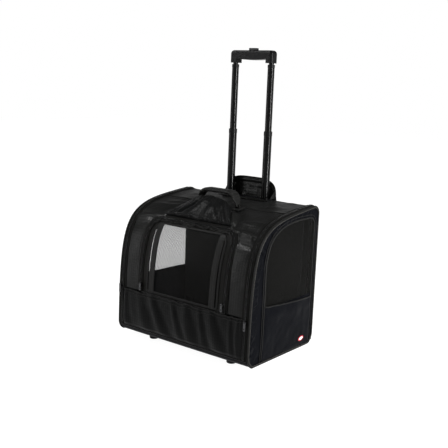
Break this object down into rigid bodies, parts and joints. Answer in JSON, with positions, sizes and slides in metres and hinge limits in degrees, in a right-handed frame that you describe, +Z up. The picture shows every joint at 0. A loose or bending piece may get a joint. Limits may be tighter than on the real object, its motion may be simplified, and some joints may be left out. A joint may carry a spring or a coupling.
{
  "type": "pet carrier bag",
  "caption": "Soft-sided pet carrier on wheels with a zipped mesh door, zipped mesh side doors, a carry handle and a telescopic trolley handle.",
  "frame": {"origin": "on the floor under the middle of the whole part", "axes": "+Z up, -Y out of the front door, +X to the right of the bag seen from the front"},
  "size_m": [0.4554, 0.314, 0.807],
  "materials": {
    "shell_fabric": "woven nylon, black",
    "pocket_fabric": "woven nylon, black, gathered",
    "mesh_fabric": "open black net",
    "zip_tape": "black zip tape with nylon coil",
    "webbing": "black webbing",
    "cushion_fabric": "quilted charcoal pad",
    "board": "hollow stiffener board",
    "moulded_black": "textured black moulding",
    "black_tube": "gloss black coated aluminium",
    "spring_steel": "bright steel wire and rod",
    "slider_metal": "dark nickel",
    "tyre_rubber": "black rubber"
  },
  "bodies": {
    "bag": {"base_tray": "moulded_black", "base_board": "board", "floor_cushion": "cushion_fabric", "front_feet": "moulded_black", "front_panel": "shell_fabric", "front_pocket": "pocket_fabric", "front_columns": "shell_fabric", "top_panel": "shell_fabric", "back_panel": "shell_fabric", "inner_back_board": "board", "frame_hoops": "spring_steel", "kick_plate": "moulded_black", "fasteners": "spring_steel", "body_zip_tapes": "zip_tape", "rolled_cover": "pocket_fabric", "handle_anchors": "webbing", "outer_tubes": "black_tube", "tube_foot_bracket": "moulded_black", "tube_top_bezel": "moulded_black", "wheel_housing_left": "moulded_black", "wheel_housing_right": "moulded_black", "axles": "spring_steel"},
    "side_door_left": {"side_panel_left": "shell_fabric", "side_flange_left": "shell_fabric", "side_zip_left": "zip_tape", "side_mesh_left": "mesh_fabric", "side_pocket_left": "pocket_fabric", "side_sliders_left": "slider_metal"},
    "side_door_right": {"side_panel_right": "shell_fabric", "side_flange_right": "shell_fabric", "side_zip_right": "zip_tape", "side_mesh_right": "mesh_fabric", "side_pocket_right": "pocket_fabric", "side_sliders_right": "slider_metal"},
    "front_door": {"door_frame": "shell_fabric", "door_mesh": "mesh_fabric", "door_straps": "webbing", "door_zip": "zip_tape", "door_sliders": "slider_metal"},
    "cover_flap": {"cover_flap": "shell_fabric"},
    "carry_handle": {"carry_handle": "webbing"},
    "middle_stage": {"mid_tubes": "black_tube", "mid_bushes": "moulded_black"},
    "upper_stage": {"upper_tubes": "black_tube", "upper_bushes": "moulded_black"},
    "grip_stage": {"inner_tubes": "black_tube", "grip": "moulded_black", "button_spring": "spring_steel"},
    "release": {"release_button": "moulded_black", "release_link": "spring_steel"},
    "wheel_left": {"wheel_hub_left": "moulded_black", "wheel_tyre_left": "tyre_rubber"},
    "wheel_right": {"wheel_hub_right": "moulded_black", "wheel_tyre_right": "tyre_rubber"},
    "pull_front_left": {"zip_pull_front_left": "slider_metal"},
    "pull_front_right": {"zip_pull_front_right": "slider_metal"},
    "pull_rear_left": {"zip_pull_rear_left": "slider_metal"},
    "pull_rear_right": {"zip_pull_rear_right": "slider_metal"},
    "pull_door_left": {"zip_pull_door_left": "slider_metal"},
    "pull_door_right": {"zip_pull_door_right": "slider_metal"}
  },
  "joints": [
    {"name": "side_door_right_hinge", "type": "hinge", "parent": "bag", "child": "side_door_right", "pos_m": [0.225, 0, 0.0204], "axis": [0, 1, 0], "range_deg": [0, 90]},
    {"name": "side_door_left_hinge", "type": "hinge", "parent": "bag", "child": "side_door_left", "pos_m": [-0.225, 0, 0.0204], "axis": [0, -1, 0], "range_deg": [0, 90]},
    {"name": "front_door_hinge", "type": "hinge", "parent": "bag", "child": "front_door", "pos_m": [0, -0.1485, 0.1432], "axis": [1, 0, 0], "range_deg": [0, 110]},
    {"name": "cover_flap_hinge", "type": "hinge", "parent": "bag", "child": "cover_flap", "pos_m": [0, 0.1495, 0.388], "axis": [-1, 0, 0], "range_deg": [0, 150]},
    {"name": "carry_handle_hinge", "type": "hinge", "parent": "bag", "child": "carry_handle", "pos_m": [0, 0, 0.3915], "axis": [1, 0, 0], "range_deg": [-60, 15]},
    {"name": "middle_slide", "type": "slide", "parent": "bag", "child": "middle_stage", "axis": [0, 0, 1], "range_m": [-0.172, 0]},
    {"name": "upper_slide", "type": "slide", "parent": "middle_stage", "child": "upper_stage", "axis": [0, 0, 1], "range_m": [-0.17, 0]},
    {"name": "grip_slide", "type": "slide", "parent": "upper_stage", "child": "grip_stage", "axis": [0, 0, 1], "range_m": [0, 0.17]},
    {"name": "release_press", "type": "slide", "parent": "grip_stage", "child": "release", "axis": [0, 0, -1], "range_m": [0, 0.0028], "stiffness_N_per_m": 1000, "springref_m": -0.003, "deforming": ["button_spring"]},
    {"name": "wheel_left_spin", "type": "hinge", "parent": "bag", "child": "wheel_left", "pos_m": [-0.18, 0.124, 0.03], "axis": [1, 0, 0], "continuous": true},
    {"name": "wheel_right_spin", "type": "hinge", "parent": "bag", "child": "wheel_right", "pos_m": [0.18, 0.124, 0.03], "axis": [1, 0, 0], "continuous": true},
    {"name": "pull_front_left_swing", "type": "hinge", "parent": "side_door_left", "child": "pull_front_left", "pos_m": [-0.2162, -0.15451, 0.1512], "axis": [-1, 0, 0], "range_deg": [0, 160]},
    {"name": "pull_rear_left_swing", "type": "hinge", "parent": "side_door_left", "child": "pull_rear_left", "pos_m": [-0.2162, 0.1558, 0.0467], "axis": [1, 0, 0], "range_deg": [0, 160]},
    {"name": "pull_door_left_swing", "type": "hinge", "parent": "front_door", "child": "pull_door_left", "pos_m": [-0.1408, -0.1539, 0.1672], "axis": [-1, 0, 0], "range_deg": [0, 160]},
    {"name": "pull_front_right_swing", "type": "hinge", "parent": "side_door_right", "child": "pull_front_right", "pos_m": [0.2162, -0.1558, 0.1392], "axis": [-1, 0, 0], "range_deg": [0, 160]},
    {"name": "pull_rear_right_swing", "type": "hinge", "parent": "side_door_right", "child": "pull_rear_right", "pos_m": [0.2162, 0.1558, 0.0467], "axis": [1, 0, 0], "range_deg": [0, 160]},
    {"name": "pull_door_right_swing", "type": "hinge", "parent": "front_door", "child": "pull_door_right", "pos_m": [0.1408, -0.1539, 0.1672], "axis": [-1, 0, 0], "range_deg": [0, 160]}
  ]
}
